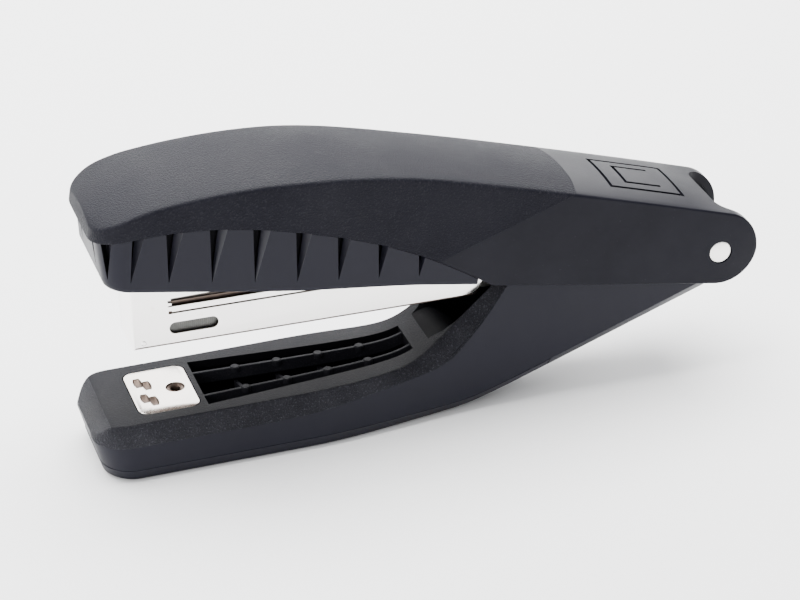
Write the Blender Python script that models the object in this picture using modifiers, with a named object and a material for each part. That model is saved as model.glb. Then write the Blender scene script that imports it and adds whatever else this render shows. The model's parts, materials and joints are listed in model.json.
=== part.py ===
"""Desk stapler, built as the separate pieces that come apart on a bench.

All dimensions are in millimetres and the mesh helpers turn them into metres.
Every piece is drawn in the frame of its own body, whose origin is the hinge
pin's axis: +X towards the hinge end, -X towards the stapling end, +Z up.
Three empties on that axis place the bodies: the base lies level, the magazine
is nose-up by MAGAZINE_TILT and the handle by HANDLE_TILT.
"""
import math

import bmesh
import bpy
from mathutils import Matrix, Vector

MM = 0.001

# ---- driving dimensions (mm, degrees) ----
PIN_X = 78.4
PIN_HEIGHT = 35.0
PIN_RADIUS = 3.0
PIN_HOLE = 3.3
PIN_HALF = 15.3
MAGAZINE_TILT = 0.82
HANDLE_TILT = 10.1
GAP = 0.3

BASE_FRONT = -167.0
BASE_CORNER = 9.0
BASE_HALF_FRONT = 17.2
BASE_HALF_REAR = 12.9
BASE_TOP = -19.7
BASE_BOTTOM = -34.9
BASE_CREASE = -25.0
FRONT_LEAN = 1.5
HEEL_X = -67.8
REAR_SLOPE = 0.356
BASE_EAR = 8.0
BASE_WALL = 2.2
SOLE_HEIGHT = 3.4
SOLE_END = -46.0
THROAT_FRONT = -75.5
SEAT_RADIUS = 5.0
SEAT_HEIGHT = 5.0
SEAT_Z = -21.0
FOOT_DEPTH = 0.9
FEET = (("front_foot", -158.0, -140.0, 12.0), ("rear_foot", -91.0, -73.0, 9.0))

WINDOW_FRONT = -137.2
WINDOW_REAR = -81.5
WINDOW_HALF_FRONT = 11.4
WINDOW_HALF_REAR = 6.5
RIB_RATIO = 0.53
RIB_WIDTH = 1.0
KNOB_FIRST = -126.0
KNOB_PITCH = 11.0
KNOB_COUNT = 4
KNOB_RADIUS = 1.3

ANVIL_FRONT = -154.65
ANVIL_REAR = -138.8
ANVIL_HALF = 11.0
ANVIL_TOP = -19.5
ANVIL_THICK = 1.2
CRIMP_X = -151.0
CRIMP_HALF = 8.2
RIVET_X = -143.05

MAG_FRONT = -154.3
MAG_HALF = 7.4
MAG_BOTTOM = -5.3
MAG_SHEET = 0.8
MAG_NOSE_REAR = -144.8
MAG_NOSE_TOP = 19.0
MAG_SIDE_REAR = -63.5
CORE_HALF = 5.5
CORE_TOP = 3.2
CORE_FRONT = -151.0
CORE_REAR = -42.0
CORE_SHEET = 0.6
STAPLE_HALF = 6.3
STAPLE_TOP = 4.0
STAPLE_WIRE = 0.5
LEG_LOW = -2.2
STRIP_FRONT = -151.2
STRIP_LENGTH = 50.0
FOLLOWER_LENGTH = 11.0
RAIL_RIVETS = (-148.0, -66.0)
RIVET_BORE = 1.3
RIVET_STEM = 1.0
ROD_Z = 0.0
ROD_RADIUS = 1.0
ROD_BRACKET = -46.0

HANDLE_FRONT = -167.0
HANDLE_CORNER = 8.0
HANDLE_HALF_FRONT = 18.3
HANDLE_HALF_REAR = 15.5
HANDLE_BOTTOM = -9.0
HANDLE_PEAK_X = -102.0
HANDLE_PEAK_Z = 21.0
HANDLE_CROWN = 1.3
HANDLE_WALL = 2.2
EAR_RADIUS = 10.0
EAR_CENTRE_Z = 1.0
WAVE_CREST_X = -133.0
WAVE_CREST_Z = 8.1
SKIRT_INSET = 0.5
SKIRT_WALL = 2.0
SKIRT_REAR = -66.0
SKIRT_FRONT = -162.0
SKIRT_LEAN = 0.243
NOTCH_PITCH = 10.9
NOTCH_FIRST = -147.5
NOTCH_COUNT = 7
NOTCH_TIP = -6.0
NOTCH_SLOPE = 0.16
ARM_HALF = 8.7
ARM_SHEET = 1.0
ARM_TOP = 9.0
ARM_FRONT = -157.0
COIL_RADIUS = 3.5
COIL_WIRE = 0.9
COIL_TURNS = 5
SPRING_X = -45.0
SPRING_SPAN = (-18.2, -5.2)
HANDLE_SPRING_X = -60.0
HANDLE_SPRING_SPAN = (5.2, 16.8)
BLADE_TIP = (-150.96, -19.39)
BLADE_LEAN = 7.28
BLADE_THICK = 0.6
BLADE_HALF = 6.1

# ---- colours (linear) with roughness and metallic ----
FINISHES = {
    "cover_plastic": ((0.032, 0.032, 0.040), 0.55, 0.0),
    "skirt_plastic": ((0.026, 0.026, 0.036), 0.42, 0.0),
    "base_plastic": ((0.030, 0.030, 0.038), 0.50, 0.0),
    "sole_plastic": ((0.040, 0.040, 0.048), 0.60, 0.0),
    "rubber": ((0.020, 0.020, 0.020), 0.85, 0.0),
    "nickel": ((0.78, 0.76, 0.73), 0.22, 1.0),
    "chrome": ((0.85, 0.83, 0.80), 0.15, 1.0),
    "steel": ((0.55, 0.55, 0.56), 0.35, 1.0),
    "spring_steel": ((0.45, 0.44, 0.43), 0.30, 1.0),
    "follower_plastic": ((0.025, 0.025, 0.028), 0.45, 0.0),
}


def clear_scene():
    for obj in list(bpy.data.objects):
        bpy.data.objects.remove(obj, do_unlink=True)


def new_collection(name):
    collection = bpy.data.collections.new(name)
    bpy.context.scene.collection.children.link(collection)
    return collection


def make_axis(name, tilt_deg):
    """An empty on the hinge pin's axis, nose-up by tilt_deg."""
    axis = bpy.data.objects.new(name, None)
    axis.location = (PIN_X * MM, 0.0, PIN_HEIGHT * MM)
    axis.rotation_euler = (0.0, math.radians(tilt_deg), 0.0)
    PARTS.objects.link(axis)
    return axis


def material(finish):
    mat = bpy.data.materials.get(finish)
    if mat is None:
        color, roughness, metallic = FINISHES[finish]
        mat = bpy.data.materials.new(finish)
        mat.use_nodes = True
        shader = mat.node_tree.nodes["Principled BSDF"]
        shader.inputs["Base Color"].default_value = (*color, 1.0)
        shader.inputs["Roughness"].default_value = roughness
        shader.inputs["Metallic"].default_value = metallic
    return mat


def add_object(name, bm, axis, finish=None, smooth_deg=None):
    """Link a bmesh drawn in mm as a part, or as a cutter when no finish is given."""
    bmesh.ops.recalc_face_normals(bm, faces=bm.faces)
    bmesh.ops.scale(bm, vec=(MM, MM, MM), verts=bm.verts)
    mesh = bpy.data.meshes.new(name)
    bm.to_mesh(mesh)
    bm.free()
    obj = bpy.data.objects.new(name, mesh)
    obj.parent = axis
    if finish is None:
        obj.hide_render = True
        obj.display_type = "WIRE"
        CUTTERS.objects.link(obj)
    else:
        mesh.materials.append(material(finish))
        PARTS.objects.link(obj)
    if smooth_deg is not None:
        mesh.shade_smooth()
        mesh.set_sharp_from_angle(angle=math.radians(smooth_deg))
    return obj


def combine(obj, other, operation="DIFFERENCE"):
    modifier = obj.modifiers.new(other.name, "BOOLEAN")
    modifier.object = other
    modifier.operation = operation
    modifier.solver = "EXACT"


def smoothstep(x, low, high):
    t = min(max((x - low) / (high - low), 0.0), 1.0)
    return t * t * (3.0 - 2.0 * t)


def soft_ramp(x, slope, start, softness):
    """Zero well before start, then a straight rise of the given slope."""
    d = x - start
    return 0.5 * slope * (d + math.hypot(d, softness))


def spread(low, high, count):
    return [low + (high - low) * i / (count - 1) for i in range(count)]


def arc(cx, cy, radius, start_deg, end_deg, count):
    points = []
    for angle in spread(math.radians(start_deg), math.radians(end_deg), count):
        points.append((cx + radius * math.cos(angle), cy + radius * math.sin(angle)))
    return points


def rounded_rectangle(x0, x1, y0, y1, radius, count=5):
    corners = ((x1, y1, 0), (x0, y1, 90), (x0, y0, 180), (x1, y0, 270))
    points = []
    for x, y, start in corners:
        cx = x + (radius if x == x0 else -radius)
        cy = y + (radius if y == y0 else -radius)
        points += arc(cx, cy, radius, start, start + 90, count)
    return points


# ---- solids ----
def prism(outline, plane, low, high):
    """A flat outline extruded across its plane, XZ along Y or XY along Z."""
    bm = bmesh.new()
    if plane == "XZ":
        verts = [bm.verts.new((x, low, z)) for x, z in outline]
        step = Vector((0.0, high - low, 0.0))
    else:
        verts = [bm.verts.new((x, y, low)) for x, y in outline]
        step = Vector((0.0, 0.0, high - low))
    face = bm.faces.new(verts)
    extruded = bmesh.ops.extrude_face_region(bm, geom=[face])
    moved = [e for e in extruded["geom"] if isinstance(e, bmesh.types.BMVert)]
    bmesh.ops.translate(bm, vec=step, verts=moved)
    return bm


def block(x0, x1, y0, y1, z0, z1):
    bm = bmesh.new()
    bmesh.ops.create_cube(bm, size=1.0)
    bmesh.ops.scale(bm, vec=(x1 - x0, y1 - y0, z1 - z0), verts=bm.verts)
    bmesh.ops.translate(bm, vec=((x0 + x1) / 2, (y0 + y1) / 2, (z0 + z1) / 2), verts=bm.verts)
    return bm


def cylinder(centre, radius, depth, axis, segments=32, top_radius=None):
    bm = bmesh.new()
    bmesh.ops.create_cone(
        bm, cap_ends=True, segments=segments, depth=depth,
        radius1=radius, radius2=radius if top_radius is None else top_radius)
    turn = {"X": Matrix.Rotation(math.radians(90), 3, "Y"),
            "Y": Matrix.Rotation(math.radians(-90), 3, "X"),
            "Z": Matrix.Identity(3)}[axis]
    bmesh.ops.rotate(bm, matrix=turn, verts=bm.verts)
    bmesh.ops.translate(bm, vec=centre, verts=bm.verts)
    return bm


def loft(rings):
    """A solid through unlike sections that all have the same number of points."""
    bm = bmesh.new()
    rows = [[bm.verts.new(point) for point in ring] for ring in rings]
    for row, following in zip(rows, rows[1:]):
        for i in range(len(row)):
            j = (i + 1) % len(row)
            bm.faces.new((row[i], row[j], following[j], following[i]))
    bm.faces.new(rows[0])
    bm.faces.new(rows[-1])
    return bm


def coil(name, centre, axis_name, length, radius, wire, turns, axis, finish):
    """A closed compression spring as a round wire, drawn along Z or X."""
    steps = 12
    curve = bpy.data.curves.new(name, "CURVE")
    curve.dimensions = "3D"
    curve.bevel_depth = wire / 2 * MM
    curve.bevel_resolution = 2
    curve.use_fill_caps = True
    count = turns * steps + 1
    spline = curve.splines.new("POLY")
    spline.points.add(count - 1)
    for i in range(count):
        angle = 2 * math.pi * i / steps
        along = (i / (count - 1) - 0.5) * (length - wire)
        across = (radius * math.cos(angle), radius * math.sin(angle))
        if axis_name == "Z":
            point = Vector((across[0], across[1], along))
        else:
            point = Vector((along, across[0], across[1]))
        spline.points[i].co = (*((point + Vector(centre)) * MM), 1.0)
    obj = bpy.data.objects.new(name, curve)
    obj.parent = axis
    curve.materials.append(material(finish))
    PARTS.objects.link(obj)
    return obj


# ---- shape of the base ----
def corner_loss(x, front, radius):
    """How much a rounded front corner takes from the half width at x."""
    d = front + radius - x
    if d <= 0:
        return 0.0
    return radius - math.sqrt(max(radius * radius - d * d, 0.0))


def base_half(x):
    body = BASE_HALF_FRONT + (BASE_HALF_REAR - BASE_HALF_FRONT) * smoothstep(x, -112.0, -60.0)
    return body - corner_loss(x, BASE_FRONT, BASE_CORNER)


def base_top(x):
    """Top rim: level arm, then the rise into the throat, then the ear."""
    rim = BASE_TOP + soft_ramp(x, 0.9, -81.5, 6.0)
    front_fall = 5.0 * (1.0 - smoothstep(x, BASE_FRONT - 1.5, BASE_FRONT + 7.0)) ** 2
    ear = math.sqrt(max(BASE_EAR ** 2 - max(x, 0.0) ** 2, 0.2))
    return min(rim - front_fall, 6.5, ear)


def base_bottom(x):
    """Flat to the heel, then rising straight towards the hinge, then round its end."""
    heel_end = -0.5
    line = BASE_BOTTOM + soft_ramp(min(x, heel_end), REAR_SLOPE, HEEL_X, 6.0)
    if x <= heel_end:
        return line
    share = (x - heel_end) / (BASE_EAR - heel_end)
    return line * math.sqrt(1.0 - share * share)


def base_crease(x):
    """Where the top bevel meets the upright side: low along the arm, steep in the throat."""
    crease = BASE_CREASE + soft_ramp(x, 0.13, -113.0, 6.0) + soft_ramp(x, 0.95, -73.8, 3.0)
    return min(crease, base_top(x) - 0.4)


def bottom_inset(x):
    return 1.3 + 1.6 * smoothstep(x, -115.0, -65.0)


def lean(x, amount):
    """Sets the lower edges back at the front, where the face leans forward."""
    return x + amount * (1.0 - smoothstep(x, BASE_FRONT, BASE_FRONT + 18.0))


def base_ring(x):
    half = base_half(x)
    rim_half = half - 1.9 - 1.1 * smoothstep(x, -100.0, -75.0)
    bottom = base_bottom(x)
    crease = base_crease(x)
    sole = min(bottom + SOLE_HEIGHT, (bottom + crease) / 2)
    right = [(lean(x, 1.6 * FRONT_LEAN), half - bottom_inset(x), bottom), (lean(x, FRONT_LEAN), half, sole),
             (x, half, crease), (x, rim_half, base_top(x))]
    left = [(px, -py, pz) for px, py, pz in reversed(right)]
    return right + left


def base_stations():
    corner = [BASE_FRONT + BASE_CORNER * (1 - math.cos(math.radians(a))) for a in (0, 22, 40, 58, 75, 90)]
    rear = [-46, -34, -20, -10, -4, -0.5, 2, 4, 5.7, 7, 7.8]
    return corner + spread(-150, -110, 4) + spread(-104, -54, 17) + rear


def make_base_shell(axis):
    shell = add_object("base_shell", loft([base_ring(x) for x in base_stations()]), axis, "base_plastic")

    sole_space = []
    for x in [BASE_FRONT - 2] + spread(BASE_FRONT + 0.5, SOLE_END, 30):
        top = base_bottom(x) + SOLE_HEIGHT
        sole_space.append([(x, 30, -50), (x, 30, top), (x, -30, top), (x, -30, -50)])
    combine(shell, add_object("cut_sole_space", loft(sole_space), axis))

    cavity = []
    for x in spread(BASE_FRONT + BASE_WALL + FRONT_LEAN, THROAT_FRONT - BASE_WALL, 26):
        half = base_half(x - FRONT_LEAN) - BASE_WALL
        top = base_top(x - 2.0) - BASE_WALL
        cavity.append([(x, half, -50), (x, half, top), (x, -half, top), (x, -half, -50)])
    combine(shell, add_object("cut_front_cavity", loft(cavity), axis))

    throat = []
    for x in [THROAT_FRONT, -71.0, -66.0, -62.0, -54.0, -50.0, -45.0, -40.0, -30.0, -10.0, -4.0, 2.0, 20.0]:
        half = 8.6 + 1.2 * smoothstep(x, THROAT_FRONT, -70.0) + 0.9 * smoothstep(x, -58.0, -42.0)
        sole = SOLE_HEIGHT * (1.0 - smoothstep(x, SOLE_END - 4.0, SOLE_END + 6.0))
        floor = base_bottom(min(x, -4.0)) + BASE_WALL + sole
        throat.append([(x, half, floor), (x, half, 30), (x, -half, 30), (x, -half, floor)])
    combine(shell, add_object("cut_throat", loft(throat), axis))

    window = [(WINDOW_FRONT, WINDOW_HALF_FRONT), (WINDOW_REAR, WINDOW_HALF_REAR),
              (WINDOW_REAR, -WINDOW_HALF_REAR), (WINDOW_FRONT, -WINDOW_HALF_FRONT)]
    combine(shell, add_object("cut_window", prism(window, "XY", -26, 0), axis))

    for side in (1, -1):
        make_window_rib(shell, side, axis)

    pocket = rounded_rectangle(ANVIL_FRONT - GAP, ANVIL_REAR + GAP, -ANVIL_HALF - GAP, ANVIL_HALF + GAP, 3.0)
    floor = ANVIL_TOP - ANVIL_THICK - GAP
    combine(shell, add_object("cut_anvil_pocket", prism(pocket, "XY", floor, 0), axis))
    combine(shell, add_object("cut_rivet_hole", cylinder((RIVET_X, 0, -22), 2.0, 8, "Z", 24), axis))
    combine(shell, add_object("cut_pin_hole", cylinder((0, 0, 0), PIN_HOLE, 60, "Y", 32), axis))

    seat = cylinder((SPRING_X, 0, SEAT_Z), SEAT_RADIUS, SEAT_HEIGHT, "Z", 24)
    combine(shell, add_object("add_spring_seat", seat, axis), "UNION")
    return shell


def make_window_rib(shell, side, axis):
    """One longitudinal rib of the window with its round knobs."""
    def rib_y(x):
        share = (x - WINDOW_FRONT) / (WINDOW_REAR - WINDOW_FRONT)
        half = WINDOW_HALF_FRONT + (WINDOW_HALF_REAR - WINDOW_HALF_FRONT) * share
        return side * RIB_RATIO * half

    rings = []
    for x in spread(WINDOW_FRONT - 1.0, WINDOW_REAR + 1.0, 12):
        y = rib_y(x)
        top = base_top(x) - 0.3
        low = top - 3.4
        rings.append([(x, y - RIB_WIDTH / 2, low), (x, y - RIB_WIDTH / 2, top),
                      (x, y + RIB_WIDTH / 2, top), (x, y + RIB_WIDTH / 2, low)])
    rib = add_object("add_rib_%d" % (side + 1), loft(rings), axis)
    combine(shell, rib, "UNION")
    for i in range(KNOB_COUNT):
        x = KNOB_FIRST + i * KNOB_PITCH
        knob = cylinder((x, rib_y(x), base_top(x) - 2.2), KNOB_RADIUS, 4.0, "Z", 16)
        combine(shell, add_object("add_knob_%d_%d" % (side + 1, i), knob, axis), "UNION")


def make_base_sole(axis):
    """Bottom plate with the lower bevel, flush with the shell's sides."""
    rings = []
    for x in [s for s in base_stations() if s < SOLE_END - 2] + [SOLE_END - GAP]:
        half = base_half(x)
        low = base_bottom(x)
        top = low + SOLE_HEIGHT - GAP
        bottom_x = lean(x, 1.6 * FRONT_LEAN)
        top_x = lean(x, FRONT_LEAN)
        bottom_half = half - bottom_inset(x)
        rings.append([(bottom_x, bottom_half, low), (top_x, half, top), (top_x, -half, top),
                      (bottom_x, -bottom_half, low)])
    sole = add_object("base_sole", loft(rings), axis, "sole_plastic")
    for name, x0, x1, half in FEET:
        outline = rounded_rectangle(x0 - GAP, x1 + GAP, -half - GAP, half + GAP, 3.0)
        pocket = add_object("cut_" + name, prism(outline, "XY", -40, BASE_BOTTOM + FOOT_DEPTH), axis)
        combine(sole, pocket)
    for name, x0, x1, half in FEET:
        outline = rounded_rectangle(x0, x1, -half, half, 3.0)
        low = -PIN_HEIGHT
        add_object(name, prism(outline, "XY", low, BASE_BOTTOM + FOOT_DEPTH - GAP), axis, "rubber")


def make_anvil(axis):
    outline = rounded_rectangle(ANVIL_FRONT, ANVIL_REAR, -ANVIL_HALF, ANVIL_HALF, 2.8)
    low = ANVIL_TOP - ANVIL_THICK
    plate = add_object("anvil_plate", prism(outline, "XY", low, ANVIL_TOP), axis, "chrome")
    for side in (1, -1):
        centre_y = side * (CRIMP_HALF - 2.9)
        trough = cylinder((CRIMP_X, centre_y, ANVIL_TOP + 3.3), 4.0, 2.2, "X", 40)
        name = "cut_crimp_%d" % (side + 1)
        combine(plate, add_object(name, trough, axis))
    combine(plate, add_object("cut_anvil_hole", cylinder((RIVET_X, 0, low), 2.1, 8, "Z", 24), axis))

    rivet = add_object("anvil_rivet", cylinder((RIVET_X, 0, -21.6), 1.75, 4.4, "Z", 24), axis, "steel", 40)
    combine(rivet, add_object("cut_rivet_bore", cylinder((RIVET_X, 0, -19.4), 1.1, 2.4, "Z", 20), axis))


def make_hinge(axis):
    pin = add_object("hinge_pin", cylinder((0, 0, 0), PIN_RADIUS, 2 * PIN_HALF, "Y", 32), axis, "chrome", 40)
    bevel = pin.modifiers.new("edge", "BEVEL")
    bevel.width = 0.3 * MM
    bevel.segments = 2
    for name, side in (("hinge_washer_near", -1), ("hinge_washer_far", 1)):
        washer = add_object(name, cylinder((0, side * 9.7, 0), 5.5, 1.4, "Y", 32), axis, "steel", 40)
        hole = add_object("cut_" + name, cylinder((0, side * 9.7, 0), PIN_HOLE, 6, "Y", 32), axis)
        combine(washer, hole)


# ---- magazine ----
def make_channel(axis):
    """Outer sheet channel: nose, long side walls with their slot, hinge ears."""
    top_rear = (-100.0, 11.0)
    outline = [(MAG_FRONT, MAG_BOTTOM), (MAG_SIDE_REAR - 1.0, MAG_BOTTOM), (MAG_SIDE_REAR, MAG_BOTTOM + 1.2),
               (MAG_SIDE_REAR + 1.5, 1.6), (-14.0, -1.5)]
    outline += arc(0, 0, 6.0, 225, 450, 13)
    outline += [(-16.0, 6.0), (-60.0, 8.5), top_rear, (-140.0, 12.5), (MAG_NOSE_REAR, MAG_NOSE_TOP),
                (MAG_FRONT, MAG_NOSE_TOP)]
    channel = add_object("magazine_channel", prism(outline, "XZ", -MAG_HALF, MAG_HALF), axis, "nickel")
    inner = MAG_HALF - MAG_SHEET
    inside = block(MAG_FRONT + MAG_SHEET, 20, -inner, inner, MAG_BOTTOM + MAG_SHEET, 40)
    combine(channel, add_object("cut_channel_inside", inside, axis))
    exit_slot = block(MAG_FRONT + MAG_SHEET, -150.8, -6.45, 6.45, MAG_BOTTOM - 2, MAG_BOTTOM + 2)
    combine(channel, add_object("cut_staple_exit", exit_slot, axis))
    hinge_room = block(-20, 20, -inner, inner, -20, 20)
    combine(channel, add_object("cut_channel_hinge", hinge_room, axis))
    groove = [(MAG_NOSE_REAR, 5.45), (-70.0, 5.45), (-70.0, 7.2), (-100.0, 8.6), (MAG_NOSE_REAR, 7.75)]
    combine(channel, add_object("cut_groove", prism(groove, "XZ", -20, 20), axis))
    slot = rounded_rectangle(-144.9, -132.3, -2.2, 1.0, 1.59, 6)
    combine(channel, add_object("cut_side_slot", prism(slot, "XZ", -20, 20), axis))
    combine(channel, add_object("cut_channel_pin", cylinder((0, 0, 0), PIN_HOLE, 60, "Y", 32), axis))


def make_staple_core(axis):
    """Inner rail that the staples straddle; its rear block carries the follower's rod."""
    low = MAG_BOTTOM + MAG_SHEET + GAP
    core = add_object("staple_core", block(CORE_FRONT, CORE_REAR, -CORE_HALF, CORE_HALF, low, CORE_TOP), axis,
                      "steel")
    inner = CORE_HALF - CORE_SHEET
    front_room = block(CORE_FRONT + CORE_SHEET, ROD_BRACKET, -inner, inner, low + CORE_SHEET, 20)
    rear_room = block(ROD_BRACKET + 2.5, CORE_REAR + 5, -inner, inner, low + CORE_SHEET, 20)
    combine(core, add_object("cut_core_front", front_room, axis))
    combine(core, add_object("cut_core_rear", rear_room, axis))
    hole = cylinder((ROD_BRACKET, 0, ROD_Z), ROD_RADIUS + GAP, 12, "X", 20)
    combine(core, add_object("cut_rod_hole", hole, axis))
    for i, x in enumerate(RAIL_RIVETS):
        core_hole = cylinder((x, 0, low), RIVET_BORE, 6, "Z", 20)
        combine(core, add_object("cut_core_rivet_%d" % i, core_hole, axis))
        channel = bpy.data.objects["magazine_channel"]
        web_hole = cylinder((x, 0, MAG_BOTTOM), RIVET_BORE, 6, "Z", 20)
        combine(channel, add_object("cut_web_rivet_%d" % i, web_hole, axis))
        stem = cylinder((x, 0, MAG_BOTTOM + 1.0), RIVET_STEM, 2.6, "Z", 20)
        rivet = add_object("rail_rivet_%s" % ("front", "rear")[i], stem, axis, "steel", 40)
        head = cylinder((x, 0, low + CORE_SHEET + GAP + 0.35), 2.0, 0.7, "Z", 20)
        combine(rivet, add_object("add_rivet_head_%d" % i, head, axis), "UNION")


def make_follower_parts(axis):
    rod_front = CORE_FRONT + CORE_SHEET + GAP
    rod_length = ROD_BRACKET + 2.3 - rod_front
    rod = cylinder((rod_front + rod_length / 2, 0, ROD_Z), ROD_RADIUS, rod_length, "X", 16)
    add_object("follower_rod", rod, axis, "steel", 40)

    front = STRIP_FRONT + STRIP_LENGTH + GAP
    rear = front + FOLLOWER_LENGTH
    low = MAG_BOTTOM + MAG_SHEET + GAP
    saddle = block(front, rear, -STAPLE_HALF, STAPLE_HALF, low + 0.6, STAPLE_TOP)
    follower = add_object("follower", saddle, axis, "follower_plastic")
    for side in (1, -1):
        wall = (CORE_HALF - CORE_SHEET - GAP, CORE_HALF + GAP)
        y0, y1 = sorted((side * wall[0], side * wall[1]))
        gap_cut = block(front - 1, rear + 1, y0, y1, low - 2, CORE_TOP + GAP)
        combine(follower, add_object("cut_saddle_%d" % (side + 1), gap_cut, axis))
    low_cut = block(front - 1, rear + 1, -5, 5, low - 2, -2.3)
    combine(follower, add_object("cut_saddle_low", low_cut, axis))
    bore = cylinder(((front + rear) / 2, 0, ROD_Z), ROD_RADIUS + GAP, 30, "X", 16)
    combine(follower, add_object("cut_saddle_bore", bore, axis))

    length = ROD_BRACKET - rear - 2 * GAP
    centre = (rear + GAP + length / 2, 0, ROD_Z)
    coil("follower_spring", centre, "X", length, 2.0, 0.5, 13, axis, "spring_steel")

    inside = STAPLE_HALF - STAPLE_WIRE
    under = STAPLE_TOP - STAPLE_WIRE
    outline = [(-STAPLE_HALF, LEG_LOW), (-STAPLE_HALF, STAPLE_TOP), (STAPLE_HALF, STAPLE_TOP)]
    outline += [(STAPLE_HALF, LEG_LOW), (inside, LEG_LOW), (inside, under)]
    outline += [(-inside, under), (-inside, LEG_LOW)]
    strip = [[(x, y, z) for y, z in outline] for x in (STRIP_FRONT, STRIP_FRONT + STRIP_LENGTH)]
    add_object("staple_strip", loft(strip), axis, "nickel")


def make_staple_cover(axis):
    """Plate that keeps the staples down, fixed to the magazine."""
    low = STAPLE_TOP + GAP
    outline = [(-150.8, low), (-150.8, low + 0.6), (-8.0, low + 0.6), (-8.0, low)]
    cover = add_object("staple_cover", prism(outline, "XZ", -6.2, 6.2), axis, "nickel")
    for side in (1, -1):
        y0, y1 = sorted((side * 5.5, side * 6.2))
        flange = [(-149.5, low + 0.2), (-149.5, 6.4), (-30.0, 6.4), (-14.0, 5.6)]
        flange += arc(0, 0, 5.2, 110, -110, 12) + [(-12.0, -0.5), (-16.0, low + 0.2)]
        part = add_object("add_flange_%d" % (side + 1), prism(flange, "XZ", y0, y1), axis)
        combine(cover, part, "UNION")
    combine(cover, add_object("cut_cover_pin", cylinder((0, 0, 0), PIN_HOLE, 60, "Y", 32), axis))


# ---- shape of the handle ----
def handle_half(x):
    body = HANDLE_HALF_FRONT + (HANDLE_HALF_REAR - HANDLE_HALF_FRONT) * smoothstep(x, -120.0, -78.0)
    return body - corner_loss(x, HANDLE_FRONT, HANDLE_CORNER)


def handle_crease(x):
    """Upper side edge: an arch that is tighter at the front."""
    d = x - HANDLE_PEAK_X
    if d < 0:
        return HANDLE_PEAK_Z - d * d / 330.0 - 0.012 * max(-d - 50.0, 0.0) ** 2
    crease = HANDLE_PEAK_Z + 3.7 - math.hypot(3.7, 0.1285 * d)
    if x > 0:
        ear = EAR_CENTRE_Z + math.sqrt(max(EAR_RADIUS ** 2 - x * x, 0.05))
        return min(crease, ear)
    return crease


def handle_wave(x):
    """Lower edge of the cover's side: a wave that runs out at the bottom edge."""
    d = x - WAVE_CREST_X
    bend = 0.0049 if d < 0 else 0.0034
    wave = WAVE_CREST_Z - bend * d * d
    bottom = HANDLE_BOTTOM
    if x > 0:
        bottom = EAR_CENTRE_Z - math.sqrt(max(EAR_RADIUS ** 2 - x * x, 0.05))
    return max(wave, bottom)


def cover_ring(x, inset, low=None):
    half = handle_half(x) - inset
    crease = handle_crease(x) - inset
    bottom = handle_wave(x) if low is None else low
    crown = HANDLE_CROWN
    right = [(x, half, bottom), (x, half, crease), (x, half * 0.6, crease + 0.64 * crown)]
    left = [(px, -py, pz) for px, py, pz in reversed(right)]
    return right + [(x, 0.0, crease + crown)] + left


def handle_stations():
    corner = [HANDLE_FRONT + HANDLE_CORNER * (1 - math.cos(math.radians(a))) for a in (0, 22, 40, 58, 75, 90)]
    middle = spread(-154, -66, 18)
    ear = [EAR_RADIUS * math.sin(math.radians(a)) for a in (0, 20, 40, 58, 74, 86)]
    return corner + middle + [-62.2, -48, -34, -20, -8] + ear


def make_handle_cover(axis):
    cover = add_object("handle_cover", loft([cover_ring(x, 0.0) for x in handle_stations()]), axis,
                       "cover_plastic")
    front = HANDLE_FRONT + HANDLE_WALL
    inner = []
    for x in spread(front, front + 7, 5) + spread(-154, -8, 22) + [-4.0]:
        ring = cover_ring(x, HANDLE_WALL, -30)
        half = min(handle_half(x - 1.5), handle_half(x)) - HANDLE_WALL
        limit = max(half, 1.0)
        inner.append([(px, max(min(py, limit), -limit), pz) for px, py, pz in ring])
    combine(cover, add_object("cut_cover_inside", loft(inner), axis))
    half = HANDLE_HALF_REAR - HANDLE_WALL
    round_room = cylinder((0, 0, 0), EAR_RADIUS - 1.5, 2 * half, "Y", 40)
    combine(cover, add_object("cut_ear_room", round_room, axis))
    combine(cover, add_object("cut_ear_low", block(-6, 20, -half, half, -20, 2.0), axis))
    notch = rounded_rectangle(-2.5, 20.0, -12.4, 12.4, 4.0)
    combine(cover, add_object("cut_rear_notch", prism(notch, "XY", -20, 30), axis))
    combine(cover, add_object("cut_cover_axle", cylinder((0, 0, 0), PIN_HOLE, 60, "Y", 32), axis))


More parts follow.
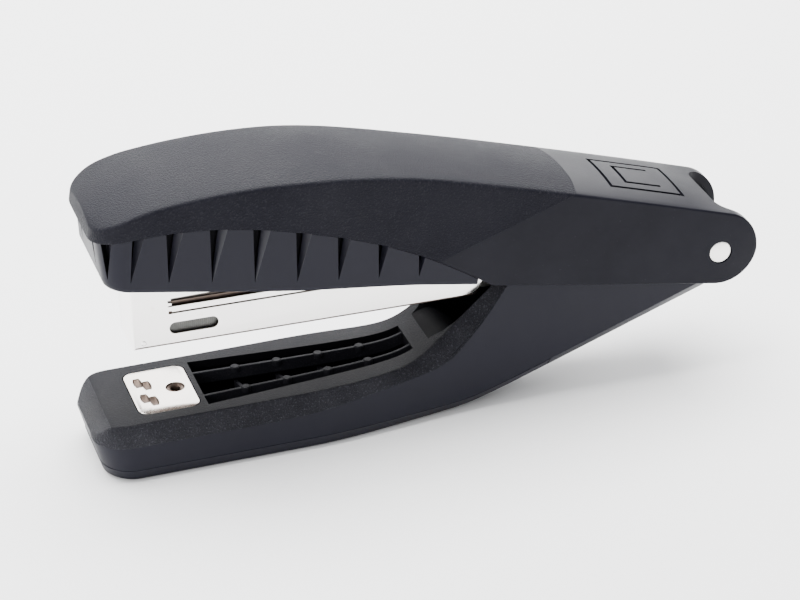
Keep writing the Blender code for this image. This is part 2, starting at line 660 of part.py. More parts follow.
def make_handle_skirt(axis):
    """Lower frame of the handle: front and sides under the cover's wave, with wedge notches."""
    def outline(z, inset):
        front = SKIRT_FRONT - SKIRT_LEAN * (z - HANDLE_BOTTOM) + inset
        shift = front - inset - HANDLE_FRONT
        points = []
        for x in spread(front, front + 9.0, 9) + spread(-146, SKIRT_REAR, 14):
            half = handle_half(max(x - inset - shift * (1.0 - smoothstep(x, -160.0, -148.0)), HANDLE_FRONT))
            points.append((x, max(half - SKIRT_INSET - inset, 0.5)))
        right = [(x, y, z) for x, y in points]
        left = [(x, -y, z) for x, y in reversed(points)]
        return right + left

    outer = [outline(z, 0.0) for z in (HANDLE_BOTTOM, 9.0)]
    skirt = add_object("handle_skirt", loft(outer), axis, "skirt_plastic")

    over_wave = []
    for x in spread(-172, SKIRT_REAR + 6, 34):
        low = handle_wave(x) - GAP
        over_wave.append([(x, 30, low), (x, 30, 40), (x, -30, 40), (x, -30, low)])
    combine(skirt, add_object("cut_over_wave", loft(over_wave), axis))

    room = [outline(z, SKIRT_WALL) for z in (HANDLE_BOTTOM - 3, 30.0)]
    combine(skirt, add_object("cut_skirt_inside", loft(room), axis))
    rear_gate = block(SKIRT_REAR - 4, SKIRT_REAR + 4, -13.3, 13.3, -40, 40)
    combine(skirt, add_object("cut_skirt_gate", rear_gate, axis))

    tongue = [outline(z, SKIRT_WALL - 0.1) for z in (HANDLE_BOTTOM + 3, 12.0)]
    tongue_obj = add_object("add_tongue", loft(tongue), axis)
    tongue_top = []
    for x in spread(-172, SKIRT_REAR + 6, 34):
        low = handle_wave(x) + 2.5
        tongue_top.append([(x, 30, low), (x, 30, 40), (x, -30, 40), (x, -30, low)])
    combine(tongue_obj, add_object("cut_tongue_top", loft(tongue_top), axis))
    tongue_room = [outline(z, SKIRT_WALL + 1.1) for z in (HANDLE_BOTTOM - 3, 30.0)]
    combine(tongue_obj, add_object("cut_tongue_room", loft(tongue_room), axis))
    gate = block(SKIRT_REAR - 10, SKIRT_REAR + 4, -30, 30, -40, 40)
    combine(tongue_obj, add_object("cut_tongue_rear", gate, axis))
    combine(skirt, tongue_obj, "UNION")

    for i in range(NOTCH_COUNT):
        x = NOTCH_FIRST + i * NOTCH_PITCH
        for side in (1, -1):
            combine(skirt, notch_cutter("cut_notch_%d_%d" % (i, side + 1), x, side, axis))


def notch_cutter(name, x, side, axis):
    """A wedge: wide and deep at the top, running out at its tip near the bottom edge."""
    outer = side * (handle_half(x) + 1.0)
    deep = side * (handle_half(x) - SKIRT_INSET - 1.4)
    top = 14.0
    reach = NOTCH_SLOPE * (top - NOTCH_TIP)
    rings = [[(x - 0.1, side * (handle_half(x) - 0.4), NOTCH_TIP), (x + 0.1, outer, NOTCH_TIP),
              (x - 0.1, outer, NOTCH_TIP)],
             [(x - reach, deep, top), (x + reach, outer, top), (x - reach, outer, top)]]
    return add_object(name, loft(rings), axis)


def make_driver(axis):
    """Steel arm that straddles the magazine, with the blade and the return spring."""
    web_low = ARM_TOP - ARM_SHEET
    outline = [(ARM_FRONT, web_low - 3.0), (-146.0, web_low - 4.0), (-70.0, 2.0), (-14.0, -3.0)]
    outline += arc(0, 0, 6.2, 225, 450, 13)
    outline += [(-14.0, ARM_TOP), (ARM_FRONT, ARM_TOP)]
    arm = add_object("driver_arm", prism(outline, "XZ", -ARM_HALF, ARM_HALF), axis, "steel")
    inner = ARM_HALF - ARM_SHEET
    combine(arm, add_object("cut_arm_inside", block(-180, 20, -inner, inner, -40, web_low), axis))
    combine(arm, add_object("cut_arm_pin", cylinder((0, 0, 0), PIN_HOLE, 60, "Y", 32), axis))
    combine(arm, add_object("cut_arm_rear", block(-9, 20, -inner, inner, -40, 40), axis))

    lean = math.radians(BLADE_LEAN)
    up = Vector((-math.sin(lean), 0.0, math.cos(lean)))
    across = Vector((math.cos(lean), 0.0, math.sin(lean)))
    tip = Vector((BLADE_TIP[0], 0.0, BLADE_TIP[1]))
    length = (web_low - GAP - tip.z) / up.z
    rings = []
    for along in (0.0, length):
        centre = tip + up * along
        ring = []
        for sx, sy in ((-1, -1), (1, -1), (1, 1), (-1, 1)):
            ring.append(centre + across * (sx * BLADE_THICK / 2) + Vector((0, sy * BLADE_HALF, 0)))
        rings.append(ring)
    blade = add_object("driver_blade", loft(rings), axis, "steel")
    foot_x = (tip + up * length).x
    foot = block(foot_x - 0.1, foot_x + 10.0, -5.0, 5.0, web_low - GAP - 0.9, web_low - GAP)
    combine(blade, add_object("add_blade_foot", foot, axis), "UNION")
    rivet_x = foot_x + 6.0
    hole = cylinder((rivet_x, 0, web_low), RIVET_BORE, 8, "Z", 20)
    combine(blade, add_object("cut_blade_hole", hole, axis))
    arm_hole = cylinder((rivet_x, 0, web_low), RIVET_BORE, 8, "Z", 20)
    combine(arm, add_object("cut_arm_hole", arm_hole, axis))
    stem = cylinder((rivet_x, 0, web_low + 0.1), RIVET_STEM, 4.2, "Z", 20)
    rivet = add_object("blade_rivet", stem, axis, "steel", 40)
    head = cylinder((rivet_x, 0, ARM_TOP + GAP + 0.4), 2.2, 0.8, "Z", 20)
    combine(rivet, add_object("add_blade_rivet_head", head, axis), "UNION")


def make_springs(base_axis, magazine_axis):
    """The two compression coils that lift the magazine and the handle."""
    for name, x, span, axis in (("magazine_spring", SPRING_X, SPRING_SPAN, base_axis),
                                ("handle_spring", HANDLE_SPRING_X, HANDLE_SPRING_SPAN, magazine_axis)):
        low, high = span
        centre = (x, 0, (low + high) / 2)
        coil(name, centre, "Z", high - low, COIL_RADIUS, COIL_WIRE, COIL_TURNS, axis, "spring_steel")


clear_scene()
PARTS = new_collection("stapler")
CUTTERS = new_collection("cutters")
base_axis = make_axis("base_axis", 0.0)
magazine_axis = make_axis("magazine_axis", MAGAZINE_TILT)
handle_axis = make_axis("handle_axis", HANDLE_TILT)

make_base_shell(base_axis)
make_base_sole(base_axis)
make_anvil(base_axis)
make_hinge(base_axis)
make_channel(magazine_axis)
make_staple_core(magazine_axis)
make_follower_parts(magazine_axis)
make_staple_cover(magazine_axis)
make_handle_cover(handle_axis)
make_handle_skirt(handle_axis)
make_driver(handle_axis)
make_springs(base_axis, magazine_axis)
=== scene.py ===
"""Looks of the desk stapler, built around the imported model.

Shapes are drawn in millimetres in the frame of their own body, whose origin is the hinge pin's axis:
+X towards the hinge, +Z up. body_matrix() puts them in the shared frame, in metres.
"""

import json
import math

import bmesh
import bpy
from mathutils import Matrix, Vector


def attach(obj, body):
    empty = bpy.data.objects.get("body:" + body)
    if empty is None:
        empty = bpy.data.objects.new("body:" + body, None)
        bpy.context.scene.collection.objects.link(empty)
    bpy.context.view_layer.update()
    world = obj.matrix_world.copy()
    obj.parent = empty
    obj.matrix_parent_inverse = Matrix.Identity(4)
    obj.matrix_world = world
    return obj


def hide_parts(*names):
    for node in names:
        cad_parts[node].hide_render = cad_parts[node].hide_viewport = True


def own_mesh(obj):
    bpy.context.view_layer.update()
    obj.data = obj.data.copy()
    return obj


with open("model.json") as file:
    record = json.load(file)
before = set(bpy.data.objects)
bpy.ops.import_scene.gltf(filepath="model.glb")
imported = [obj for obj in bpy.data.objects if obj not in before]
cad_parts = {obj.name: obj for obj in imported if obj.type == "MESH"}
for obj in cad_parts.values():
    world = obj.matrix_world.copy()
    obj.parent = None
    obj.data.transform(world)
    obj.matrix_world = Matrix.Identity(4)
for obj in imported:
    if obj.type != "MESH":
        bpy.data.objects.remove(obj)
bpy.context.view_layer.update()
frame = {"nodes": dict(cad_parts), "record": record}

MM = 0.001
JOINTS = frame["record"]["behaviour"]["joints"]
PIN = Vector(next(joint["pos_m"] for joint in JOINTS if joint["name"] == "handle_hinge"))
TILT = {"base": 0.0, "magazine": 0.82, "handle": 10.1}  # degrees about the pin, at rest
CORNER_POINTS = 6  # points that stand for one rounded corner of a section
TINY = 1e-6
MERGE = 1e-5
FAR = 30.0  # cutters end this far out, past every wall


# ---- numbers and outlines ----
def smoothstep(x, low, high):
    """0 up to low, 1 from high on, and a smooth rise between."""
    t = min(max((x - low) / (high - low), 0.0), 1.0)
    return t * t * (3.0 - 2.0 * t)


def soft_ramp(x, slope, start, softness):
    """0 before start and a straight rise after it, with a soft bend."""
    d = x - start
    return 0.5 * slope * (d + math.hypot(d, softness))


def spread(low, high, count):
    return [low + (high - low) * i / (count - 1) for i in range(count)]


def arc(cx, cy, radius, start_deg, end_deg, count):
    angles = spread(math.radians(start_deg), math.radians(end_deg), count)
    return [(cx + radius * math.cos(a), cy + radius * math.sin(a)) for a in angles]


def rounded_path(points, radii):
    """A path whose inner corners are rounded: radii has one entry for each corner."""
    path = [points[0]]
    for i, radius in enumerate(radii, start=1):
        corner = Vector(points[i])
        before = Vector(points[i - 1]) - corner
        after = Vector(points[i + 1]) - corner
        room = 0.45 * min(before.length, after.length)
        if room < TINY:
            path += [tuple(corner)] * CORNER_POINTS
            continue
        angle = before.angle(after)
        reach = min(radius / max(math.tan(angle / 2), 1e-3), room)
        start = corner + before.normalized() * reach
        end = corner + after.normalized() * reach
        for t in spread(0.0, 1.0, CORNER_POINTS):
            path.append(tuple(start * (1 - t) ** 2 + corner * 2 * t * (1 - t) + end * t * t))
    path.append(points[-1])
    return path


def rounded_rectangle(x0, x1, y0, y1, radius, count=8):
    points = []
    for x, y, start in ((x1, y1, 0), (x0, y1, 90), (x0, y0, 180), (x1, y0, 270)):
        cx = x + (radius if x == x0 else -radius)
        cy = y + (radius if y == y0 else -radius)
        points += arc(cx, cy, radius, start, start + 90, count)
    return points


# ---- solids, in mm ----
def loft(rings, regions=None):
    """A solid through sections with equal numbers of points; regions gives each column's material."""
    bm = bmesh.new()
    rows = [[bm.verts.new(point) for point in ring] for ring in rings]
    count = len(rows[0])
    regions = regions or [0] * count
    for row, following in zip(rows, rows[1:]):
        for i in range(count):
            j = (i + 1) % count
            face = bm.faces.new((row[i], row[j], following[j], following[i]))
            face.material_index = regions[i]
    for end in (rows[0], rows[-1]):
        bm.faces.new(end).material_index = regions[0]
    bmesh.ops.remove_doubles(bm, verts=bm.verts, dist=MERGE)
    bmesh.ops.dissolve_degenerate(bm, edges=bm.edges, dist=MERGE)
    bmesh.ops.recalc_face_normals(bm, faces=bm.faces)
    return bm


def prism(outline, plane, low, high):
    """A flat outline extruded across its plane, XZ along Y or XY along Z."""
    if plane == "XZ":
        rings = [[(x, level, z) for x, z in outline] for level in (low, high)]
    else:
        rings = [[(x, y, level) for x, y in outline] for level in (low, high)]
    return loft(rings)


def painted(bm, index):
    for face in bm.faces:
        face.material_index = index
    return bm


def block(x0, x1, y0, y1, z0, z1):
    bm = bmesh.new()
    bmesh.ops.create_cube(bm, size=1.0)
    bmesh.ops.scale(bm, vec=(x1 - x0, y1 - y0, z1 - z0), verts=bm.verts)
    bmesh.ops.translate(bm, vec=((x0 + x1) / 2, (y0 + y1) / 2, (z0 + z1) / 2), verts=bm.verts)
    return bm


def turned(profile, centre, axis, steps=64):
    """A solid of revolution about Y or Z, from (radius, height) points that start and end on its axis."""
    bm = bmesh.new()
    rows = []
    for radius, height in profile:
        if radius < TINY:
            rows.append([bm.verts.new((0.0, 0.0, height))])
            continue
        angles = [2 * math.pi * i / steps for i in range(steps)]
        rows.append([bm.verts.new((radius * math.cos(a), radius * math.sin(a), height)) for a in angles])
    for row, following in zip(rows, rows[1:]):
        for i in range(steps):
            j = (i + 1) % steps
            corners = [row[i % len(row)], row[j % len(row)], following[j % len(following)],
                       following[i % len(following)]]
            bm.faces.new(list(dict.fromkeys(corners)))
    if axis == "Y":
        bmesh.ops.rotate(bm, matrix=Matrix.Rotation(math.radians(-90), 3, "X"), verts=bm.verts)
    bmesh.ops.translate(bm, vec=centre, verts=bm.verts)
    bmesh.ops.recalc_face_normals(bm, faces=bm.faces)
    return bm


def cylinder(centre, radius, depth, axis, steps=64):
    half = depth / 2
    return turned([(0, -half), (radius, -half), (radius, half), (0, half)], centre, axis, steps)


def mesh_object(name, bm):
    mesh = bpy.data.meshes.new(name)
    bm.to_mesh(mesh)
    bm.free()
    obj = bpy.data.objects.new(name, mesh)
    bpy.context.scene.collection.objects.link(obj)
    return obj


def cut(bm, tools, operation="DIFFERENCE"):
    """bm after an exact boolean with each tool in turn."""
    obj = mesh_object("work", bm)
    helpers = [mesh_object("tool", tool) for tool in tools]
    for helper in helpers:
        modifier = obj.modifiers.new("cut", "BOOLEAN")
        modifier.object = helper
        modifier.operation = operation
        modifier.solver = "EXACT"
    bpy.context.view_layer.update()
    result = bmesh.new()
    evaluated = obj.evaluated_get(bpy.context.evaluated_depsgraph_get())
    mesh = bpy.data.meshes.new_from_object(evaluated)
    result.from_mesh(mesh)
    bpy.data.meshes.remove(mesh)
    for used in [obj] + helpers:
        data = used.data
        bpy.data.objects.remove(used, do_unlink=True)
        bpy.data.meshes.remove(data)
    return result


def body_matrix(body):
    turn = Matrix.Rotation(math.radians(TILT[body]), 4, "Y")
    return Matrix.Translation(PIN) @ turn @ Matrix.Scale(MM, 4)


def add_piece(name, bm, body, materials, replaces=(), sharp_deg=32.0):
    """Places a solid on its body; edges steeper than sharp_deg stay sharp in shading."""
    bm.transform(body_matrix(body))
    obj = mesh_object(name, bm)
    for mat in materials:
        obj.data.materials.append(mat)
    obj.data.shade_smooth()
    obj.data.set_sharp_from_angle(angle=math.radians(sharp_deg))
    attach(obj, body)
    if replaces:
        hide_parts(*replaces)
    return obj


# ---- materials ----
SMOOTH_ROUGHNESS = 0.34  # where a mask keeps the grain away
SMOOTH_SPECULAR = 0.085
GRAIN_END = -42.0  # the grain's border on top of the handle
GRAIN_END_Z = 17.2
GRAIN_BORDER_SLOPE = -1.81  # mm along the handle for each mm down its side


def new_material(name, color, roughness, metallic=0.0, specular=0.5):
    mat = bpy.data.materials.new(name)
    mat.use_nodes = True
    shader = mat.node_tree.nodes["Principled BSDF"]
    shader.inputs["Base Color"].default_value = (*color, 1.0)
    shader.inputs["Roughness"].default_value = roughness
    shader.inputs["Metallic"].default_value = metallic
    shader.inputs["Specular IOR Level"].default_value = specular
    return mat, shader


def link(tree, source, target):
    tree.links.new(source, target)


def noise(tree, coords, scale, detail, stretch=None):
    """A noise texture in object space; scale is in cells per metre."""
    if stretch:
        mapping = tree.nodes.new("ShaderNodeMapping")
        mapping.inputs["Scale"].default_value = stretch
        link(tree, coords, mapping.inputs["Vector"])
        coords = mapping.outputs["Vector"]
    texture = tree.nodes.new("ShaderNodeTexNoise")
    texture.inputs["Scale"].default_value = scale
    texture.inputs["Detail"].default_value = detail
    link(tree, coords, texture.inputs["Vector"])
    return texture.outputs["Fac"]


def remap(tree, value, from_low, from_high, to_low, to_high):
    node = tree.nodes.new("ShaderNodeMapRange")
    ends = {"From Min": from_low, "From Max": from_high, "To Min": to_low, "To Max": to_high}
    for key, number in ends.items():
        node.inputs[key].default_value = number
    link(tree, value, node.inputs["Value"])
    return node.outputs["Result"]


def math_node(tree, operation, first, second):
    node = tree.nodes.new("ShaderNodeMath")
    node.operation = operation
    for socket, value in ((node.inputs[0], first), (node.inputs[1], second)):
        if isinstance(value, float):
            socket.default_value = value
        else:
            link(tree, value, socket)
    return node.outputs["Value"]


def mix_color(tree, factor, first, second):
    node = tree.nodes.new("ShaderNodeMix")
    node.data_type = "RGBA"
    link(tree, factor, node.inputs["Factor"])
    node.inputs["A"].default_value = (*first, 1.0)
    node.inputs["B"].default_value = (*second, 1.0)
    return node.outputs["Result"]


def bump(tree, height, distance, shader, strength=1.0):
    node = tree.nodes.new("ShaderNodeBump")
    node.inputs["Strength"].default_value = strength
    node.inputs["Distance"].default_value = distance
    link(tree, height, node.inputs["Height"])
    link(tree, node.outputs["Normal"], shader.inputs["Normal"])


def plastic(name, color, light, roughness, grain_mm, grain_depth_mm, mask=None, specular=0.28, painted_glint_level=0.0):
    """Moulded plastic with a spark-eroded grain; mask (0 smooth, 1 grained) may limit the grain.

    light is the colour of its paler patches and dust, and of the glints: highlights painted onto the
    grain's high cells.
    """
    mat, shader = new_material(name, color, roughness, specular=specular)
    tree = mat.node_tree
    coords = tree.nodes.new("ShaderNodeTexCoord").outputs["Object"]
    cells = noise(tree, coords, 1.0 / (grain_mm * MM), 3.0)
    grain = remap(tree, cells, 0.35, 0.68, 0.0, 1.0)
    patches = noise(tree, coords, 55.0, 4.0)
    dust = remap(tree, noise(tree, coords, 1500.0, 1.0), 0.74, 0.80, 0.0, 1.0)
    scuffs = remap(tree, noise(tree, coords, 260.0, 5.0, (1.0, 1.0, 0.25)), 0.60, 0.75, 0.0, 1.0)
    pale = remap(tree, patches, 0.3, 0.7, 0.0, 0.3)
    tint = math_node(tree, "ADD", pale, math_node(tree, "MULTIPLY", dust, 0.5))
    # painted highlights: the grain's high cells take the paler colour, standing in for glints of light
    painted_glints = remap(tree, cells, 0.56, 0.70, 0.0, painted_glint_level)
    rough = remap(tree, patches, 0.3, 0.7, roughness - 0.05, roughness + 0.06)
    if mask is None:
        height = grain
    else:
        limit = mask(tree, coords)
        painted_glints = math_node(tree, "MULTIPLY", painted_glints, limit)
        height = math_node(tree, "MULTIPLY", grain, limit)
        fine = noise(tree, coords, 1.0 / (0.25 * grain_mm * MM), 1.0)
        height = math_node(tree, "ADD", height, math_node(tree, "MULTIPLY", fine, 0.06))
        smooth = math_node(tree, "SUBTRACT", 1.0, limit)
        smoother = math_node(tree, "MULTIPLY", smooth, roughness - SMOOTH_ROUGHNESS)
        rough = math_node(tree, "SUBTRACT", rough, smoother)
        gloss = remap(tree, limit, 0.0, 1.0, SMOOTH_SPECULAR, specular)
        link(tree, gloss, shader.inputs["Specular IOR Level"])
    tint = math_node(tree, "ADD", tint, painted_glints)
    link(tree, mix_color(tree, tint, color, light), shader.inputs["Base Color"])
    rough = math_node(tree, "SUBTRACT", rough, math_node(tree, "MULTIPLY", scuffs, 0.05))
    link(tree, rough, shader.inputs["Roughness"])
    bump(tree, height, grain_depth_mm * MM, shader)
    return mat


def metal(name, color, dark, roughness, brush=(0.12, 1.0, 1.0)):
    """Plated or rolled steel with faint rolling lines, clouded polish and darker spots."""
    mat, shader = new_material(name, color, roughness, metallic=1.0)
    tree = mat.node_tree
    coords = tree.nodes.new("ShaderNodeTexCoord").outputs["Object"]
    clouds = noise(tree, coords, 120.0, 4.0)
    lines = noise(tree, coords, 900.0, 3.0, brush)
    spots = remap(tree, noise(tree, coords, 420.0, 3.0), 0.66, 0.78, 0.0, 1.0)
    spots = math_node(tree, "MULTIPLY", spots, 0.5)
    link(tree, mix_color(tree, spots, color, dark), shader.inputs["Base Color"])
    rough = math_node(tree, "ADD", remap(tree, clouds, 0.3, 0.7, roughness - 0.04, roughness + 0.06),
                      remap(tree, lines, 0.3, 0.7, -0.03, 0.03))
    link(tree, rough, shader.inputs["Roughness"])
    bump(tree, lines, 0.004 * MM, shader, 0.6)
    return mat


def handle_grain_mask(tree, coords):
    """1 on the grained front of the handle, 0 behind the slanting border."""
    mapping = tree.nodes.new("ShaderNodeMapping")
    mapping.vector_type = "TEXTURE"
    mapping.inputs["Location"].default_value = PIN
    mapping.inputs["Rotation"].default_value = (0.0, math.radians(TILT["handle"]), 0.0)
    link(tree, coords, mapping.inputs["Vector"])
    split = tree.nodes.new("ShaderNodeSeparateXYZ")
    link(tree, mapping.outputs["Vector"], split.inputs["Vector"])
    below = math_node(tree, "SUBTRACT", GRAIN_END_Z * MM, split.outputs["Z"])
    below = math_node(tree, "MAXIMUM", below, 0.0)
    border = math_node(tree, "MULTIPLY", below, GRAIN_BORDER_SLOPE)
    border = math_node(tree, "ADD", border, GRAIN_END * MM)
    ahead = math_node(tree, "SUBTRACT", border, split.outputs["X"])
    return remap(tree, ahead, -0.1 * MM, 0.1 * MM, 0.0, 1.0)


COVER = plastic("cover_plastic", (0.0040, 0.0040, 0.0075), (0.019, 0.019, 0.024), 0.48, 0.42, 0.10,
                handle_grain_mask, specular=0.07, painted_glint_level=0.6)
SATIN = plastic("satin_plastic", (0.0052, 0.0052, 0.0105), (0.0095, 0.0095, 0.0165), 0.42, 0.12, 0.004,
                specular=0.15)
# A paler copy of the satin plastic: painted light on the notch facets that face the lamps; the higher gloss
# is their own.
LIT_FACET = plastic("notch_facet_painted_light", (0.0095, 0.0095, 0.015), (0.0125, 0.0125, 0.0195),
                   0.36, 0.12, 0.003, specular=0.36)
COARSE = plastic("coarse_grain_plastic", (0.0045, 0.0045, 0.0070), (0.055, 0.055, 0.065),
                 0.42, 0.40, 0.22, specular=0.10, painted_glint_level=0.5)
FINE = plastic("fine_grain_plastic", (0.0060, 0.0060, 0.0080), (0.022, 0.022, 0.027), 0.55, 0.36, 0.05,
               specular=0.07, painted_glint_level=0.5)
# A darker, less glossy copy of the plastic for cut and inner faces: painted shade in the cavities, throat
# and notch slots.
SHADED_INNER = plastic("inner_plastic_painted_shade", (0.003, 0.003, 0.004), (0.006, 0.006, 0.008), 0.70, 0.2, 0.01,
                specular=0.05)
RUBBER = plastic("foot_rubber", (0.011, 0.011, 0.011), (0.018, 0.018, 0.018), 0.85, 0.4, 0.03)
NYLON = plastic("nylon", (0.012, 0.012, 0.013), (0.020, 0.020, 0.025), 0.45, 0.2, 0.006)
NICKEL = metal("nickel_sheet", (0.97, 0.945, 0.92), (0.78, 0.69, 0.62), 0.20)
CHROME = metal("polished_plate", (0.66, 0.62, 0.58), (0.46, 0.40, 0.35), 0.18)
# A dark brown copy of the sheet for faces that look down and for the staple cover seen through the groove:
# painted shade.
SHADED_UNDERSIDE = metal("sheet_underside_painted_shade", (0.13, 0.10, 0.085), (0.07, 0.05, 0.04), 0.38)
# Dark brown for the cut faces of the sheet and anvil, the crimp pockets and the eyelet: painted shade in
# slots, hollows and the eyelet's hole.
SHADED_EDGES = metal("cut_edge_painted_shade", (0.11, 0.08, 0.065), (0.05, 0.035, 0.03), 0.42)
# Staples far darker than bare wire: painted shade, as they lie inside the channel.
SHADED_STAPLE_WIRE = metal("staple_wire_painted_shade", (0.10, 0.10, 0.095), (0.07, 0.065, 0.06), 0.42, (1.0, 0.2, 1.0))
PIN_STEEL = metal("pin_steel", (0.90, 0.88, 0.85), (0.70, 0.66, 0.62), 0.28)
STEEL = metal("zinc_steel", (0.50, 0.50, 0.51), (0.36, 0.34, 0.32), 0.36)
WIRE = metal("spring_wire", (0.50, 0.49, 0.47), (0.34, 0.32, 0.30), 0.28, (1.0, 1.0, 0.2))
DULL = metal("dull_core", (0.30, 0.29, 0.28), (0.20, 0.18, 0.17), 0.48)


# ---- base ----
BASE_FRONT = -167.0
BASE_CORNER = 9.0
BASE_EAR = 8.0
BASE_WALL = 2.2
BASE_BORE = 3.2
BASE_FLOOR = -50.0  # lower than any part of the base
SOLE_HEIGHT = 3.4
SOLE_END = -46.0
COARSE_END = -162.5  # ahead of it the top is as coarse as the bevels
THROAT_FRONT = -75.5
RECESS_FRONT, RECESS_REAR = -75.2, -48.0
WINDOW_FRONT, WINDOW_REAR = -137.2, -81.5
WINDOW_FRONT_HALF, WINDOW_REAR_HALF = 11.4, 6.5
RIB_SHARE = 0.53  # of the window's half width
RIB_CROSSINGS = (-126.0, -115.0, -104.0, -93.0)
FEET = (("front_foot", -158.0, -140.0, 12.0), ("rear_foot", -91.0, -73.0, 9.0))
FOOT_CORNER = 2.8
ANVIL_TOP = -19.5
ANVIL_FRONT, ANVIL_REAR, ANVIL_HALF = -154.65, -138.8, 11.0
ANVIL_CORNER = 2.8
ANVIL_RIVET_X = -143.05
CRIMP_X = -150.7
WASHER_Y = 9.7
SIDE_FACE, BEVEL_FACE, TOP_FACE = 1, 2, 3  # material slots; cut faces have slot 0, which takes the darker inner plastic as painted shade


def corner_loss(x, front, radius):
    """How far a rounded corner at front draws the side in at x."""
    d = front + radius - x
    return 0.0 if d <= 0 else radius - math.sqrt(max(radius * radius - d * d, 0.0))


def base_half(x):
    """Half the base's width."""
    return 17.2 - 4.3 * smoothstep(x, -112.0, -60.0) - corner_loss(x, BASE_FRONT, BASE_CORNER)


def base_rim(x):
    """Height of the deck, which climbs along the hinge walls."""
    return -19.7 + soft_ramp(x, 0.9, -81.5, 6.0)


def base_rim_half(x):
    """Half the width between the bevels' upper edges."""
    return base_half(x) - 1.9 - 1.1 * smoothstep(x, -100.0, -75.0)


def base_top(x):
    """Height of the base's top: rounded at the front, level and then round at the ears."""
    front_fall = 5.0 * (1.0 - smoothstep(x, BASE_FRONT - 1.5, BASE_FRONT + 7.0)) ** 2
    ear = math.sqrt(max(BASE_EAR ** 2 - max(x, 0.0) ** 2, 0.04))
    return min(base_rim(x) - front_fall, 6.5, ear)


def base_bottom(x):
    heel_end = -0.5
    line = -34.9 + soft_ramp(min(x, heel_end), 0.356, -67.8, 6.0)
    if x <= heel_end:
        return line
    share = min((x - heel_end) / (BASE_EAR - heel_end), 0.999)
    return line * math.sqrt(1.0 - share * share)


def base_crease(x):
    """Height at which the side turns into the bevel."""
    crease = -25.0 + soft_ramp(x, 0.13, -113.0, 6.0) + soft_ramp(x, 0.95, -73.8, 3.0)
    crease += 0.024 * max(x + 68.0, 0.0) ** 2
    return min(crease, base_top(x) - 0.4)


def bottom_inset(x):
    """How far the bottom is drawn in below the side."""
    return 1.3 + 1.6 * smoothstep(x, -115.0, -65.0)


def lean(x, low_share):
    """Sets the lower part of the front face back: low_share is 0 at the crease and 1 at the bottom."""
    return x + 2.4 * low_share * (1.0 - smoothstep(x, BASE_FRONT, BASE_FRONT + 18.0))


def mirrored(right):
    """A closed section from its right side, which runs from the bottom to the top's middle."""
    left = [(px, -py, pz) for px, py, pz in reversed(right[:-1])]
    return right + left


def base_section(x):
    half, rim_half = base_half(x), base_rim_half(x)
    bottom, crease, top = base_bottom(x), base_crease(x), base_top(x)
    sole = min(bottom + SOLE_HEIGHT, (bottom + crease) / 2)
    inset = bottom_inset(x)
    path = rounded_path([(half - inset - 1.5, bottom), (half - inset, bottom), (half, sole), (half, crease),
                         (rim_half, top), (0.0, top)], [0.7, 0.6, 0.45, 0.9])
    right = []
    for y, z in path:
        share = min(max((crease - z) / (crease - bottom), 0.0), 1.0)
        right.append((lean(x, share), y, z))
    return mirrored(right)


def corner_stations(front, radius, count):
    return [front + radius * (1 - math.cos(math.radians(a))) for a in spread(0, 90, count)]


def base_stations():
    ear = [BASE_EAR * math.sin(math.radians(a)) for a in spread(6, 84, 11)]
    return (corner_stations(BASE_FRONT, BASE_CORNER, 15) + spread(-156, -90, 34) +
            spread(-88, -50, 30) + spread(-47, -0.5, 16) + ear)


def throat_section(x):
    """The space behind the window: its floor curves down from the rim to the base's wall."""
    half = 8.6 + 1.2 * smoothstep(x, THROAT_FRONT, -70.0) + 0.9 * smoothstep(x, -58.0, -42.0)
    sole = SOLE_HEIGHT * (1.0 - smoothstep(x, SOLE_END - 4.0, SOLE_END + 6.0))
    floor = base_bottom(min(x, -4.0)) + BASE_WALL + sole
    floor = max(floor, base_rim(x) + 0.1 - 0.085 * max(x - THROAT_FRONT + 3.0, 0.0) ** 2)
    corner = 1.5
    return [(x, half - corner, floor), (x, half, floor + corner), (x, half, FAR), (x, -half, FAR),
            (x, -half, floor + corner), (x, -half + corner, floor)]


def throat_recess(x, side):
    """The stepped recess in the wall's bevel that the handle's edge goes down into."""
    half, rim_half = base_half(x), base_rim_half(x)
    low, high = base_crease(x), base_rim(x)
    return [(x, side * (half + 2.0), low + 0.3), (x, side * (half - 0.45), low + 0.5),
            (x, side * (half - 1.2), low + 0.35 * (high - low)), (x, side * (rim_half + 0.05), high - 0.2),
            (x, side * (rim_half + 0.05), high + 8.0), (x, side * (half + 2.0), high + 8.0)]


